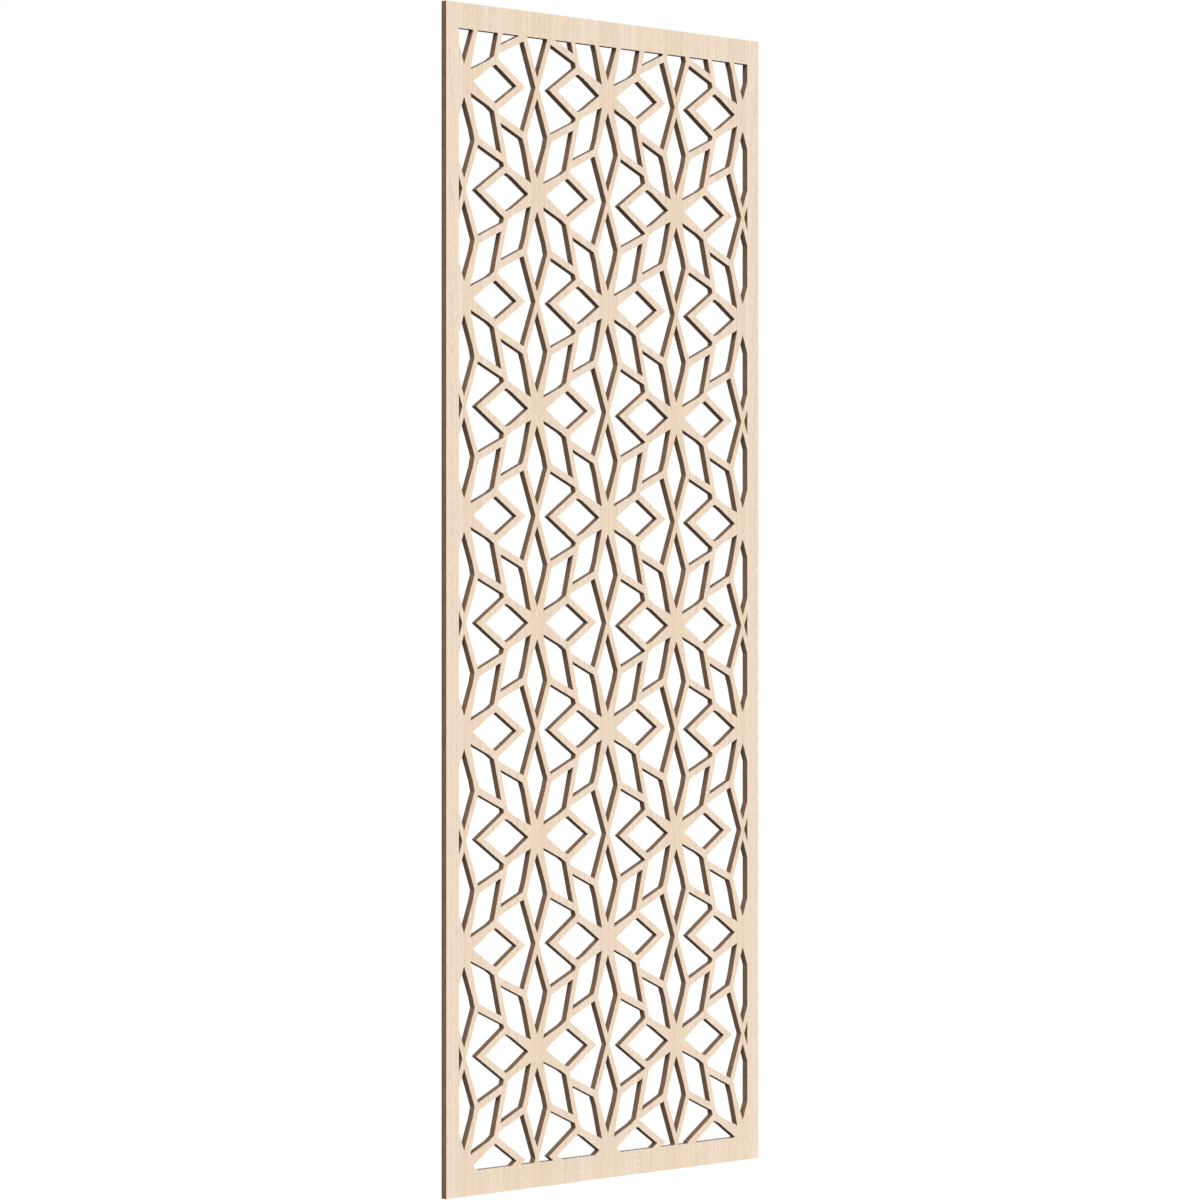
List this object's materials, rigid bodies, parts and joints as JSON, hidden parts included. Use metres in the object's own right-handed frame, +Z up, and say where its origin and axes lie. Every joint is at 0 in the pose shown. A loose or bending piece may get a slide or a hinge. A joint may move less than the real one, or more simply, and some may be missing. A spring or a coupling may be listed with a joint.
{
  "type": "fretwork wall panel",
  "caption": "Tall flat wall panel of veneered board, cut through with an interlaced rosette lattice that ends square inside a plain border.",
  "frame": {"origin": "middle of the panel's bottom edge, half-way through its thickness", "axes": "+Z up along the panel's height, +X to the right along its width, +Y from the front face back to the wall"},
  "size_m": [0.594, 0.0094, 1.584],
  "materials": {
    "core": "fibreboard, cut edges scorched brown",
    "front_veneer": "pale maple veneer, sanded, unfinished",
    "back_veneer": "pale maple veneer, sanded, unfinished"
  },
  "bodies": {
    "root": {"core_board": "core", "front_leaf_1": "front_veneer", "front_leaf_2": "front_veneer", "front_leaf_3": "front_veneer", "front_leaf_4": "front_veneer", "front_leaf_5": "front_veneer", "front_leaf_6": "front_veneer", "back_leaf_1": "back_veneer", "back_leaf_2": "back_veneer", "back_leaf_3": "back_veneer", "back_leaf_4": "back_veneer", "back_leaf_5": "back_veneer", "back_leaf_6": "back_veneer"}
  },
  "joints": []
}
